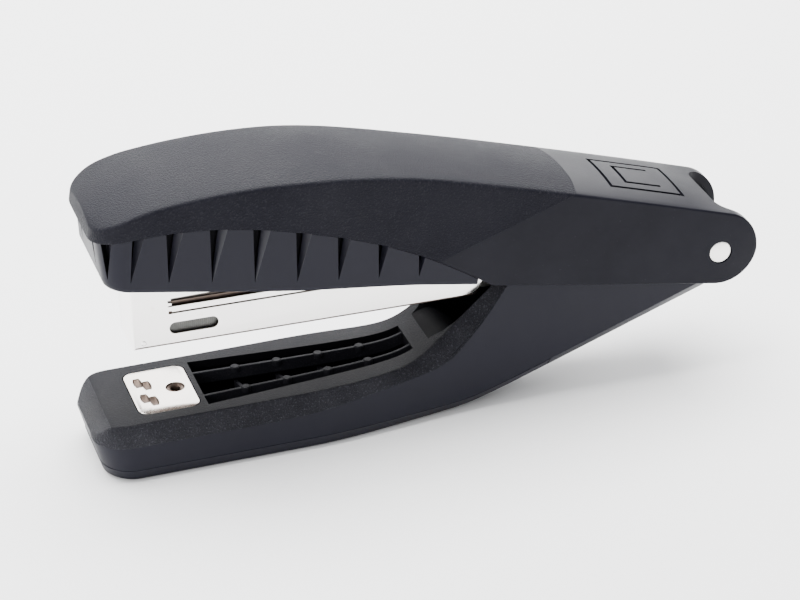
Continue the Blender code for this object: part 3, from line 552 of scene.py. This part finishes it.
def base_cutters():
    """What is taken from the base: sole space, cavity, throat, window, anvil seat, bores and recesses."""
    sole_space, cavity = [], []
    for x in [BASE_FRONT - 2] + spread(BASE_FRONT + 0.5, SOLE_END, 60):
        top = base_bottom(x) + SOLE_HEIGHT
        sole_space.append([(x, FAR, BASE_FLOOR), (x, FAR, top), (x, -FAR, top), (x, -FAR, BASE_FLOOR)])
    for x in spread(BASE_FRONT + BASE_WALL + 1.5, THROAT_FRONT - BASE_WALL - 2.0, 50):
        half = base_half(x - 1.5) - BASE_WALL
        top = base_top(x - 2.0) - BASE_WALL
        cavity.append([(x, half, BASE_FLOOR), (x, half, top), (x, -half, top), (x, -half, BASE_FLOOR)])
    throat_stations = spread(THROAT_FRONT - 3.0, -36, 34) + [-30.0, -20.0, -10.0, -4.0, 2.0, 20.0]
    throat = [throat_section(x) for x in throat_stations]
    window = [(WINDOW_FRONT, WINDOW_FRONT_HALF), (WINDOW_REAR, WINDOW_REAR_HALF),
              (WINDOW_REAR, -WINDOW_REAR_HALF), (WINDOW_FRONT, -WINDOW_FRONT_HALF)]
    gap = 0.25
    anvil_seat = rounded_rectangle(ANVIL_FRONT - gap, ANVIL_REAR + gap, -ANVIL_HALF - 0.2, ANVIL_HALF + 0.2,
                                   ANVIL_CORNER + 0.1)
    tools = [loft(sole_space), loft(cavity), loft(throat), prism(window, "XY", -26, 0),
             prism(anvil_seat, "XY", -21.0, 0), cylinder((ANVIL_RIVET_X, 0, -22), 2.3, 8, "Z"),
             cylinder((0, 0, 0), BASE_BORE, 60, "Y")]
    for side in (1, -1):
        recess = loft([throat_recess(x, side) for x in spread(RECESS_FRONT, RECESS_REAR, 24)])
        tools.append(painted(recess, BEVEL_FACE))
    return tools


def make_base():
    count = len(base_section(-120.0))
    bevel_start = 1 + 2 * CORNER_POINTS + CORNER_POINTS // 2
    top_start = bevel_start + CORNER_POINTS
    regions = [SIDE_FACE] * count
    for i in range(bevel_start, count - bevel_start):
        regions[i] = TOP_FACE if top_start <= i < count - top_start - 1 else BEVEL_FACE
    shell = loft([base_section(x) for x in base_stations()], regions)
    for face in shell.faces:
        if face.material_index == TOP_FACE and face.calc_center_median().x < COARSE_END:
            face.material_index = BEVEL_FACE
    add_piece("base_body", cut(shell, base_cutters()), "base", [SHADED_INNER, SATIN, COARSE, FINE],
              ["base_shell"])


def rib_reach(x):
    """How far from the middle the two long ribs run."""
    narrowing = (WINDOW_FRONT_HALF - WINDOW_REAR_HALF) * (x - WINDOW_FRONT) / (WINDOW_REAR - WINDOW_FRONT)
    return RIB_SHARE * (WINDOW_FRONT_HALF - narrowing)


def make_window_ribs():
    """Two long ribs in the open window, with round ejector knobs, and sloping cross ribs between them."""
    half = 0.5
    knob = [(0, -1.4), (1.25, -1.4), (1.25, -0.25), (1.0, 0), (0, 0)]
    for name, side in (("window_rib_left", 1), ("window_rib_right", -1)):
        rings = []
        for x in spread(WINDOW_FRONT - 1.0, WINDOW_REAR + 1.1, 40):
            y, top = side * rib_reach(x), base_top(x) - 0.35
            rings.append([(x, y - half, top - 3.2), (x, y - half, top - 0.15), (x, y - half + 0.15, top),
                          (x, y + half - 0.15, top), (x, y + half, top - 0.15), (x, y + half, top - 3.2)])
        knobs = [turned(knob, (x, side * rib_reach(x), base_top(x) - 0.15), "Z", 28) for x in RIB_CROSSINGS]
        add_piece(name, cut(loft(rings), knobs, "UNION"), "base", [FINE])
    for i, x in enumerate(RIB_CROSSINGS, start=1):
        top, reach = base_top(x), rib_reach(x)
        section = [(-reach, top - 1.2), (reach, top - 4.4), (reach, top - 6.0), (-reach, top - 6.0)]
        rib = loft([[(level, y, z) for y, z in section] for level in (x - 0.45, x + 0.45)])
        add_piece("cross_rib_%d" % i, rib, "base", [FINE])


def make_sole():
    rings = []
    for x in [station for station in base_stations() if station < SOLE_END - 2] + [SOLE_END - 0.3]:
        half, low, inset = base_half(x), base_bottom(x), bottom_inset(x)
        top = low + SOLE_HEIGHT - 0.06
        path = rounded_path([(0.0, low), (half - inset, low), (half, top - 0.1), (half - 0.15, top),
                             (0.0, top)], [1.0, 0.35, 0.1])
        right = [(lean(x, 1.0 - 0.4 * (z - low) / SOLE_HEIGHT), y, z) for y, z in path]
        left = [(px, -py, pz) for px, py, pz in reversed(right[1:-1])]
        rings.append(right + left)
    gap = 0.3
    seats = []
    for _, x0, x1, half in FEET:
        seat = rounded_rectangle(x0 - gap, x1 + gap, -half - gap, half + gap, FOOT_CORNER + 0.2)
        seats.append(prism(seat, "XY", -40, -34.0))
    add_piece("base_bottom_shell", cut(loft(rings), seats), "base", [SATIN], ["base_sole"])


def make_feet():
    for node, x0, x1, half in FEET:
        rings = []
        for inset, z in ((0.5, -35.0), (0.15, -34.95), (0.0, -34.8), (0.0, -34.3)):
            outline = rounded_rectangle(x0 + inset, x1 - inset, -half + inset, half - inset, FOOT_CORNER)
            rings.append([(x, y, z) for x, y in outline])
        grooves = [block(x0 - 1, x1 + 1, y - 0.4, y + 0.4, -36, -34.75)
                   for y in spread(-half + 3, half - 3, 5)]
        add_piece(node + "_pad", cut(loft(rings), grooves), "base", [RUBBER], [node])


def make_anvil():
    rings = []
    for inset, drop in ((0.0, 1.2), (0.0, 0.25), (0.08, 0.07), (0.25, 0.0)):
        outline = rounded_rectangle(ANVIL_FRONT + inset, ANVIL_REAR - inset, -ANVIL_HALF + inset,
                                    ANVIL_HALF - inset, ANVIL_CORNER - inset)
        rings.append([(x, y, ANVIL_TOP - drop) for x, y in outline])
    tools = []
    for side in (1, -1):
        tools.append(crimp_pocket(CRIMP_X - side, side * 2.7, side * 7.4))
        tools.append(crimp_pocket(CRIMP_X + side, side * 0.9, side * 5.4))
    centre = (ANVIL_RIVET_X, 0, ANVIL_TOP)
    tools.append(turned([(0, -3), (1.7, -3), (1.7, -0.9), (2.5, 0.02), (2.6, 1), (0, 1)], centre, "Z"))
    plate = cut(painted(loft(rings), SIDE_FACE), tools)
    add_piece("anvil", plate, "base", [SHADED_EDGES, CHROME], ["anvil_plate"])
    rivet = [(0, -2.2), (1.6, -2.2), (1.6, -0.95), (2.1, -0.35), (1.75, -0.22), (1.35, -0.5), (1.2, -1.0),
             (1.2, -1.9), (0, -1.9)]
    add_piece("anvil_eyelet", turned(rivet, centre, "Z"), "base", [SHADED_EDGES], ["anvil_rivet"])


def crimp_pocket(x, y_start, y_end):
    """A boat-shaped hollow that turns a staple's leg: deepest at its outer end."""
    rings = []
    for t in spread(0.0, 1.0, 14):
        y = y_start + (y_end - y_start) * t
        depth = 0.05 + 0.75 * math.sin(math.pi * min(t * 1.15, 1.0) * 0.75) * (1.0 - 0.75 * t ** 6)
        half = 0.5 + 0.65 * math.sin(math.pi * (0.12 + 0.76 * t))
        ring = [(x + half * math.cos(a), y, ANVIL_TOP - depth * math.sin(a)) for a in spread(0, math.pi, 9)]
        rings.append(ring + [(x - half, y, ANVIL_TOP + 1), (x + half, y, ANVIL_TOP + 1)])
    return loft(rings)


def make_hinge():
    half = 15.3
    profile = [(0, -half), (2.65, -half), (2.9, -half + 0.1), (3.0, -half + 0.35), (3.0, half - 0.35),
               (2.9, half - 0.1), (2.65, half), (0, half)]
    add_piece("axle_pin", turned(profile, (0, 0, 0), "Y"), "base", [PIN_STEEL], ["hinge_pin"])
    washer = [(0, -0.7), (5.2, -0.7), (5.5, -0.5), (5.5, 0.5), (5.2, 0.7), (0, 0.7)]
    for node, y in (("hinge_washer_near", -WASHER_Y), ("hinge_washer_far", WASHER_Y)):
        ring = cut(turned(washer, (0, y, 0), "Y"), [cylinder((0, y, 0), RAIL_BORE, 6, "Y")])
        add_piece(node + "_ring", ring, "base", [STEEL], [node])


# ---- magazine ----
RAIL_FRONT = -154.3
RAIL_BOTTOM = -5.3
RAIL_HALF = 7.4
RAIL_SHEET = 0.8
RAIL_BORE = 3.25
STAPLE_FRONT = -151.15
STAPLE_WIRE = 0.5
STAPLE_PITCH = 0.509
STAPLE_COUNT = 98
OUTSIDE, BELOW = 1, 2  # material slots; BELOW takes the dark underside colour, painted shade on faces that look down


def make_channel():
    half, inner = RAIL_HALF, RAIL_HALF - RAIL_SHEET
    outline = [(RAIL_FRONT, RAIL_BOTTOM), (-64.5, RAIL_BOTTOM), (-63.5, -4.1), (-62.0, 1.6), (-14.0, -1.5)]
    outline += arc(0, 0, 6.0, 225, 450, 24)
    outline += [(-16.0, 6.0), (-60.0, 8.5), (-100.0, 11.0), (-140.0, 12.5), (-144.8, 19.0),
                (RAIL_FRONT, 19.0)]
    channel = prism(outline, "XZ", -half, half)
    bends = []
    for edge in channel.edges:
        a, b = (vert.co for vert in edge.verts)
        along_side = abs(abs(a.y) - half) < 1e-4 and a.y == b.y
        at_front = max(a.x, b.x) < RAIL_FRONT + 0.3
        at_bottom = max(a.z, b.z) < -4.0 and max(a.x, b.x) < -63.0
        if along_side and (at_front or at_bottom):
            bends.append(edge)
    bmesh.ops.bevel(channel, geom=bends, offset=0.7, segments=5, profile=0.5, affect="EDGES")
    channel.normal_update()
    for face in channel.faces:
        # faces that look down take the dark underside colour: painted shade
        face.material_index = BELOW if face.normal.z < -0.1 else OUTSIDE
    add_piece("magazine_body", cut(channel, channel_cutters(half, inner)), "magazine",
              [SHADED_EDGES, NICKEL, SHADED_UNDERSIDE], ["magazine_channel"])
    dimple_x, dimple_z = -151.6, -3.6
    dimple = turned([(0, -0.6), (0.9, -0.6), (0.8, -0.15), (0.5, 0.12), (0, 0.2)],
                    (dimple_x, -half + 0.05, dimple_z), "Y", 28)
    bmesh.ops.rotate(dimple, cent=(dimple_x, -half, dimple_z), matrix=Matrix.Rotation(math.pi, 3, "Z"),
                     verts=dimple.verts)
    add_piece("magazine_dimple", dimple, "magazine", [NICKEL])


def channel_cutters(half, inner):
    """The channel's inside, staple slot, bore, side openings, pressed lines and rivet holes."""
    inside_front = RAIL_FRONT + RAIL_SHEET
    tools = [block(inside_front, 20, -inner, inner, RAIL_BOTTOM + RAIL_SHEET, 40),
             block(-20, 20, -inner, inner, -20, 20),
             block(inside_front, -150.8, -6.45, 6.45, -8, -3),
             cylinder((0, 0, 0), RAIL_BORE, 60, "Y")]
    groove = [(-145.0, 5.45), (-70.0, 5.45), (-70.0, 7.2), (-100.0, 8.6), (-144.2, 7.75), (-144.2, 7.2),
              (-145.0, 7.2), (-145.0, 6.6), (-144.0, 6.4), (-144.0, 5.9), (-145.0, 5.7)]
    tools.append(prism(groove, "XZ", -20, 20))
    tools.append(prism(rounded_rectangle(-144.9, -132.3, -2.2, 1.0, 1.59, 10), "XZ", -20, 20))
    for side in (1, -1):
        y0, y1 = sorted((side * (half - 0.5), side * (half + 1)))
        tools.append(block(-144.3, -70.0, y0, y1, 3.5, 4.02))
        tools.append(block(-144.9, -144.0, y0, y1, 3.45, 4.3))
        tools.append(block(-151.9, -149.9, y0, y1, -4.75, -4.6))
    for x in (-148.0, -66.0):
        tools.append(cylinder((x, 0, RAIL_BOTTOM), 1.3, 6, "Z", 24))
    return tools


def make_staples():
    """A stick of separate wire staples, glued side by side."""
    bm = bmesh.new()
    outer = [(-6.3, -2.2), (-6.3, 3.75), (-6.05, 4.0), (6.05, 4.0), (6.3, 3.75), (6.3, -2.2)]
    inner = [(5.8, -2.2), (5.8, 3.5), (-5.8, 3.5), (-5.8, -2.2)]
    outline = outer + inner
    for i in range(STAPLE_COUNT):
        front = STAPLE_FRONT + i * STAPLE_PITCH
        rows = [[bm.verts.new((x, y, z)) for y, z in outline] for x in (front, front + STAPLE_WIRE * 0.94)]
        for k in range(len(outline)):
            j = (k + 1) % len(outline)
            bm.faces.new((rows[0][k], rows[0][j], rows[1][j], rows[1][k]))
        bm.faces.new(rows[0])
        bm.faces.new(rows[1])
    bmesh.ops.recalc_face_normals(bm, faces=bm.faces)
    add_piece("staples", bm, "magazine", [SHADED_STAPLE_WIRE], ["staple_strip"])


def make_coil(name, body, centre, axis, length, radius, wire, turns, node):
    """A closed and ground compression spring along Z or X."""
    steps, sides = 28, 10
    count = turns * steps + 1
    axis_dir = Vector((0, 0, 1)) if axis == "Z" else Vector((1, 0, 0))
    centres = []
    for i in range(count):
        angle = 2 * math.pi * i / steps
        t = i / (count - 1)
        eased = t + 0.035 * math.sin(2 * math.pi * t)
        along = (eased - 0.5) * (length - wire)
        across = (radius * math.cos(angle), radius * math.sin(angle))
        point = Vector((*across, along)) if axis == "Z" else Vector((along, *across))
        centres.append(point + Vector(centre))
    rings = []
    for i, point in enumerate(centres):
        tangent = (centres[min(i + 1, count - 1)] - centres[max(i - 1, 0)]).normalized()
        side = tangent.cross(axis_dir).normalized()
        up = side.cross(tangent)
        rings.append([point + (side * math.cos(a) + up * math.sin(a)) * wire / 2
                      for a in (2 * math.pi * k / sides for k in range(sides))])
    return add_piece(name, loft(rings), body, [WIRE], [node], 60)


def make_springs():
    x, low, high = -45, -18.2, -5.2
    lift = make_coil("lifting_spring", "base", (x, 0, (low + high) / 2), "Z", high - low, 3.5, 0.9, 5,
                     "magazine_spring")
    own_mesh(lift)

    # Drawn at its pressed length, so that the driver arm never passes through it.
    make_coil("return_spring", "magazine", (-60, 0, 9.1), "Z", 7.8, 3.5, 0.9, 4, "handle_spring")

    front, rear = -89.6, -46.3
    push = make_coil("pusher_spring", "magazine", ((rear + front) / 2, 0, 0), "X", rear - front, 2.0, 0.5,
                     16, "follower_spring")
    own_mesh(push)


# ---- handle ----
HANDLE_FRONT = -167.0
HANDLE_CORNER = 8.0
HANDLE_WALL = 2.2
HANDLE_BORE = 3.12
EAR_RADIUS = 10.0
EAR_Z = 1.0
EAR_INSIDE = 13.3
BOTTOM = -9.0
CROWN = 1.27
NOTCH_FIRST = -147.5
NOTCH_PITCH = 10.9
NOTCH_COUNT = 7
NOTCH_TIP, NOTCH_TOP = -6.2, 12.0
NOTCH_SLOPE = 0.158  # how fast a notch widens from its tip
SLOT_DEPTH = 2.35
FACET_FACE = 2  # material slot of the notch facets, whose plastic is painted lighter as light falling on them


def handle_narrowing(x):
    """How far each side of the handle has come in from its front to x."""
    return 2.8 * smoothstep(x, -120.0, -78.0)


def handle_half(x):
    return 18.3 - handle_narrowing(x) - corner_loss(x, HANDLE_FRONT, HANDLE_CORNER)


def handle_crease(x):
    """Height of the edge between the handle's side and its top."""
    d = x + 102.0
    if d < 0:
        return 21.0 - d * d / 330.0 - 0.012 * max(-d - 50.0, 0.0) ** 2
    crease = 24.7 - math.hypot(3.7, 0.1285 * d)
    if x > 0:
        return min(crease, EAR_Z + math.sqrt(max(EAR_RADIUS ** 2 - x * x, 0.05)))
    return crease


def handle_wave(x):
    """Height of the cover's lower edge: an arch over the notches, then the bottom and the ear."""
    d = x + 133.0
    wave = 8.1 - (0.0049 if d < 0 else 0.0034) * d * d
    bottom = BOTTOM
    if x > 0:
        bottom = EAR_Z - math.sqrt(max(EAR_RADIUS ** 2 - x * x, 0.05))
    return max(wave, bottom)


def crown_height(x):
    """How far the top's middle stands above its edges."""
    return CROWN * (1.0 - smoothstep(x, -14.0, 3.0))


def handle_top(x, y):
    share = y / handle_half(x)
    return handle_crease(x) + crown_height(x) * (1.0 - share * share)


def cover_section(x):
    half, crease, low = handle_half(x), handle_crease(x), handle_wave(x)
    radius = 1.1 - 0.5 * smoothstep(x, -60.0, -20.0)
    crown = [(half * s, handle_top(x, half * s)) for s in (0.86, 0.7, 0.5, 0.25, 0.0)]
    path = rounded_path([(half - 1.2, low), (half, low), (half, crease), crown[0]], [0.45, radius])
    return mirrored([(x, y, z) for y, z in path + crown[1:]])


def handle_stations():
    ear = [EAR_RADIUS * math.sin(math.radians(a)) for a in spread(0, 87, 18)]
    return corner_stations(HANDLE_FRONT, HANDLE_CORNER, 15) + spread(-158, -2, 92) + ear


def make_cover():
    inside = []
    for x in spread(HANDLE_FRONT + HANDLE_WALL, -4.0, 90):
        half = min(handle_half(x - 1.5), handle_half(x)) - HANDLE_WALL
        top = handle_crease(x) - HANDLE_WALL
        inside.append([(x, half, -FAR), (x, half, top - 1.0), (x, half - 1.0, top + 0.1),
                       (x, 0, top + CROWN), (x, -half + 1.0, top + 0.1), (x, -half, top - 1.0),
                       (x, -half, -FAR)])
    rear_notch = rounded_rectangle(-1.2, 26.0, -12.4, 12.4, 5.0, 12)
    tools = [loft(inside), cylinder((0, 0, 0), EAR_RADIUS - 1.5, 2 * EAR_INSIDE, "Y"),
             block(-6, 20, -EAR_INSIDE, EAR_INSIDE, -20, 2.0), cylinder((0, 0, 0), HANDLE_BORE, 60, "Y"),
             prism(rear_notch, "XY", -20, FAR)]
    tools += mark_cutters()
    cover = loft([cover_section(x) for x in handle_stations()])
    add_piece("top_cover", cut(cover, tools), "handle", [COVER], ["handle_cover"])


def mark_cutters():
    """A generic staple sign: a bent wire inside a rounded frame, engraved in the rear of the top."""
    x0, x1, half, line, depth = -31.0, -10.5, 8.5, 0.95, 0.8

    def engrave(outline):
        return loft([[(x, y, handle_top(x, y) - depth) for x, y in outline],
                     [(x, y, FAR) for x, y in outline]])

    def stroke(start, end):
        run = Vector(end) - Vector(start)
        side = Vector((-run.y, run.x)).normalized() * line / 2
        reach = run.normalized() * line / 2
        a, b = Vector(start) - reach, Vector(end) + reach
        return engrave([tuple(a + side), tuple(b + side), tuple(b - side), tuple(a - side)])

    frame_points = [(x0, -half), (x1, -half), (x1, half), (x0, half)]
    sign = [(-16.0, -5.0), (-25.5, -5.0), (-25.5, 5.0), (-16.0, 5.0)]
    strokes = [stroke(a, b) for a, b in zip(frame_points, frame_points[1:] + frame_points[:1])]
    strokes += [stroke(a, b) for a, b in zip(sign, sign[1:])]
    return strokes


def skirt_front(z):
    """The skirt's front face, which leans forward."""
    return -162.6 - 3.4 * (z - BOTTOM) / 14.0


def skirt_outline(z, inset):
    """Plan of the skirt at height z, drawn in by inset; its bottom edge is rounded."""
    low_round = corner_loss(z, BOTTOM, 1.3)
    side_round = corner_loss(z, BOTTOM, 0.8)
    corner = 5.0 + 3.0 * smoothstep(z, BOTTOM, BOTTOM + 14.0) - min(inset, 2.0)
    front = skirt_front(z) + low_round + inset
    points = []
    for x in corner_stations(front, corner, 13) + spread(front + corner + 1.0, -66, 42):
        half = 17.8 - handle_narrowing(x) - corner_loss(x, front, corner)
        points.append((x, max(half - inset - side_round, 0.5)))
    return [(x, y, z) for x, y in points] + [(x, -y, z) for x, y in reversed(points)]


def make_skirt():
    low_levels = [BOTTOM + rise for rise in (0.0, 0.1, 0.3, 0.6, 1.2, 1.9, 2.6)]
    skirt = painted(loft([skirt_outline(z, 0.0) for z in low_levels + [-4, 0, 4, 9.0]]), SIDE_FACE)
    above = []
    for x in spread(-172, -60, 90):
        low = handle_wave(x) - 0.15
        above.append([(x, FAR, low), (x, FAR, 40), (x, -FAR, 40), (x, -FAR, low)])
    room = loft([skirt_outline(z, 2.6) for z in (BOTTOM - 3, -4, 0, FAR)])
    tools = [loft(above), room, block(-70, -62, -EAR_INSIDE, EAR_INSIDE, -40, 40)]
    for side in (1, -1):
        out = math.radians(90 * side)
        corner_out = out + side * math.radians(40)
        for i in range(NOTCH_COUNT):
            x = NOTCH_FIRST + NOTCH_PITCH * i
            tools += notch_tools(x, side * (handle_half(x) - 0.5), out, side, 1.0, 1.0)
        tools += notch_tools(-157.0, side * 17.75, out, side, 0.45, 1.15)
        tools += notch_tools(-163.6, side * 15.3, corner_out, side, 1.25, 0.9)
        tools += notch_tools(-165.3, side * 7.5, math.pi, side, 0.9, 0.9)
    add_piece("lower_frame", cut(skirt, tools), "handle", [SHADED_INNER, SATIN, LIT_FACET],
              ["handle_skirt"])


def notch_tools(x, y, out, side, slot_width, facet_width):
    """A deep slot beside a slanting facet; both narrow to a tip near the bottom edge.

    out is the direction, in plan, that the wall faces at the notch.
    """
    outward = Vector((math.cos(out), math.sin(out)))
    along = Vector((-outward.y, outward.x)) * -side

    def wedge(section):
        rings = []
        for z, reach in ((NOTCH_TIP, 0.06), (NOTCH_TOP, NOTCH_SLOPE * (NOTCH_TOP - NOTCH_TIP))):
            lift = (skirt_front(z) - skirt_front(4.0)) * max(-outward.x, 0.0)
            ring = []
            for share, depth in section:
                point = Vector((x + lift, y)) + along * share * reach + outward * depth
                ring.append((point.x, point.y, z))
            rings.append(ring)
        return loft(rings)

    slot = wedge([(-slot_width, 4.0), (-slot_width, -SLOT_DEPTH), (0.05, -SLOT_DEPTH), (0.05, 4.0)])
    facet = wedge([(0.0, 4.0), (0.0, -1.3), (facet_width, 0.12), (facet_width, 4.0)])
    return [slot, painted(facet, FACET_FACE)]


def finish_cad_nodes():
    """The inner steel and nylon parts keep their CAD shape and take a finished material."""
    finishes = {"staple_core": DULL, "staple_cover": SHADED_UNDERSIDE, "rail_rivet_front": STEEL,
                "rail_rivet_rear": STEEL, "follower_rod": STEEL, "follower": NYLON, "driver_arm": STEEL,
                "driver_blade": STEEL, "blade_rivet": STEEL}
    for node, mat in finishes.items():
        mesh = frame["nodes"][node].data
        mesh.materials.clear()
        mesh.materials.append(mat)


# ---- camera, floor and light ----
def make_camera():
    camera = bpy.data.objects.new("camera", bpy.data.cameras.new("camera"))
    bpy.context.scene.collection.objects.link(camera)
    camera.data.sensor_width = 36.0
    camera.data.lens = 127.98
    right = Vector((0.95204, -0.30464, -0.02861))
    up = Vector((0.16794, 0.44208, 0.88111))
    back = Vector((-0.25578, -0.84365, 0.47204))
    place = Matrix((right, up, back)).transposed().to_4x4()
    place.translation = PIN + Vector((-0.2699, -0.6178, 0.3397))
    camera.matrix_world = place
    bpy.context.scene.camera = camera


def area_light(name, location, target, size, energy):
    light = bpy.data.lights.new(name, "AREA")
    light.shape = "RECTANGLE"
    light.size, light.size_y = size
    light.energy = energy
    lamp = bpy.data.objects.new(name, light)
    lamp.location = location
    lamp.rotation_euler = (Vector(target) - Vector(location)).to_track_quat("-Z", "Y").to_euler()
    bpy.context.scene.collection.objects.link(lamp)


def make_studio():
    bm = bmesh.new()
    bmesh.ops.create_grid(bm, x_segments=1, y_segments=1, size=4.0)
    floor = mesh_object("floor", bm)
    floor.data.materials.append(new_material("floor", (0.93, 0.93, 0.93), 0.85, specular=0.1)[0])
    world = bpy.data.worlds.new("studio")
    world.use_nodes = True
    background = world.node_tree.nodes["Background"]
    background.inputs["Color"].default_value = (0.97, 0.98, 1.0, 1.0)
    background.inputs["Strength"].default_value = 0.86
    bpy.context.scene.world = world
    area_light("overhead", (0.0, 0.25, 0.95), (0, 0, 0), (1.4, 0.9), 46.0)
    area_light("back", (0.1, 1.1, 0.55), (0, 0, 0.03), (1.6, 0.7), 22.0)
    area_light("front_left", (-0.95, -0.45, 0.45), (0, 0, 0.03), (0.6, 0.5), 7.0)


make_camera()
make_studio()
make_base()
make_window_ribs()
make_sole()
make_feet()
make_anvil()
make_hinge()
make_channel()
make_staples()
make_springs()
make_cover()
make_skirt()
finish_cad_nodes()
